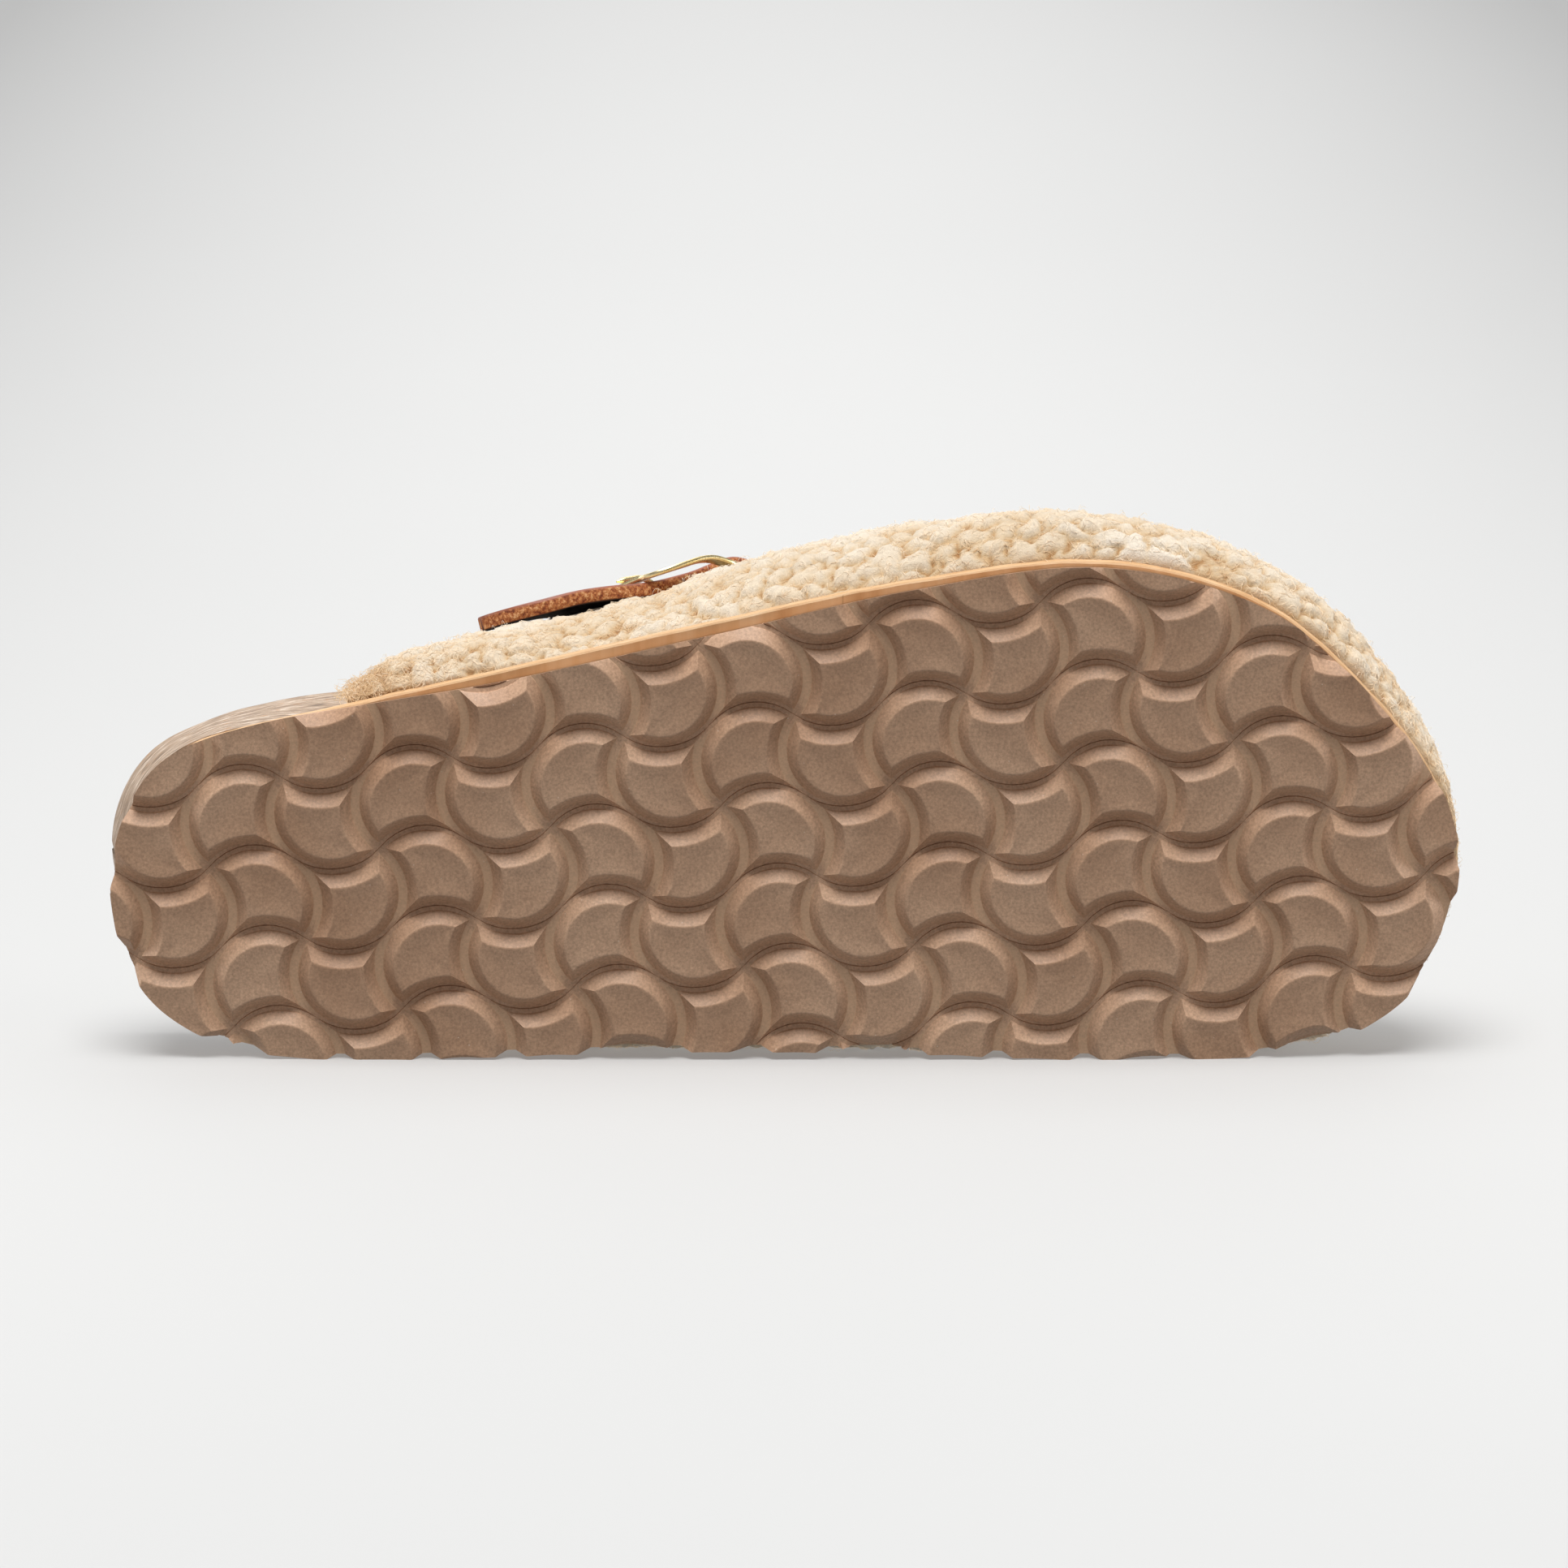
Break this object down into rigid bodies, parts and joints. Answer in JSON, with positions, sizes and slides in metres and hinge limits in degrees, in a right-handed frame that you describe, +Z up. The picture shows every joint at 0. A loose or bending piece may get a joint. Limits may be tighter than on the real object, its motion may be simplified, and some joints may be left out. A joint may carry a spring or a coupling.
{
  "type": "mule shoe",
  "caption": "Closed-toe clog with a fleece upper, a buckled leather strap over the instep, a cork footbed bare at the heel and a foam sole with curved raised tiles, lying on its side.",
  "frame": {"origin": "middle of the object's box, at the floor on which the shoe lies", "axes": "+X from heel to toe, -Y the way the tread faces (leaning down a little), +Z up from the floor: the shoe lies on its inner side, so its outer side is up"},
  "size_m": [0.2622, 0.0986, 0.1061],
  "materials": {
    "foam": "matt moulded foam",
    "tan_layer": "smooth tan edge",
    "cork": "sealed streaky cork",
    "suede": "suede lining",
    "fleece": "curly cream fleece",
    "leather": "cognac leather with raw edges",
    "brass": "polished"
  },
  "bodies": {
    "root": {"outsole": "foam", "midsole": "tan_layer", "footbed": "cork", "insole": "suede", "upper": "fleece", "strap": "leather", "buckle_tab": "leather", "buckle_frame": "brass", "buckle_pin": "brass"}
  },
  "joints": []
}
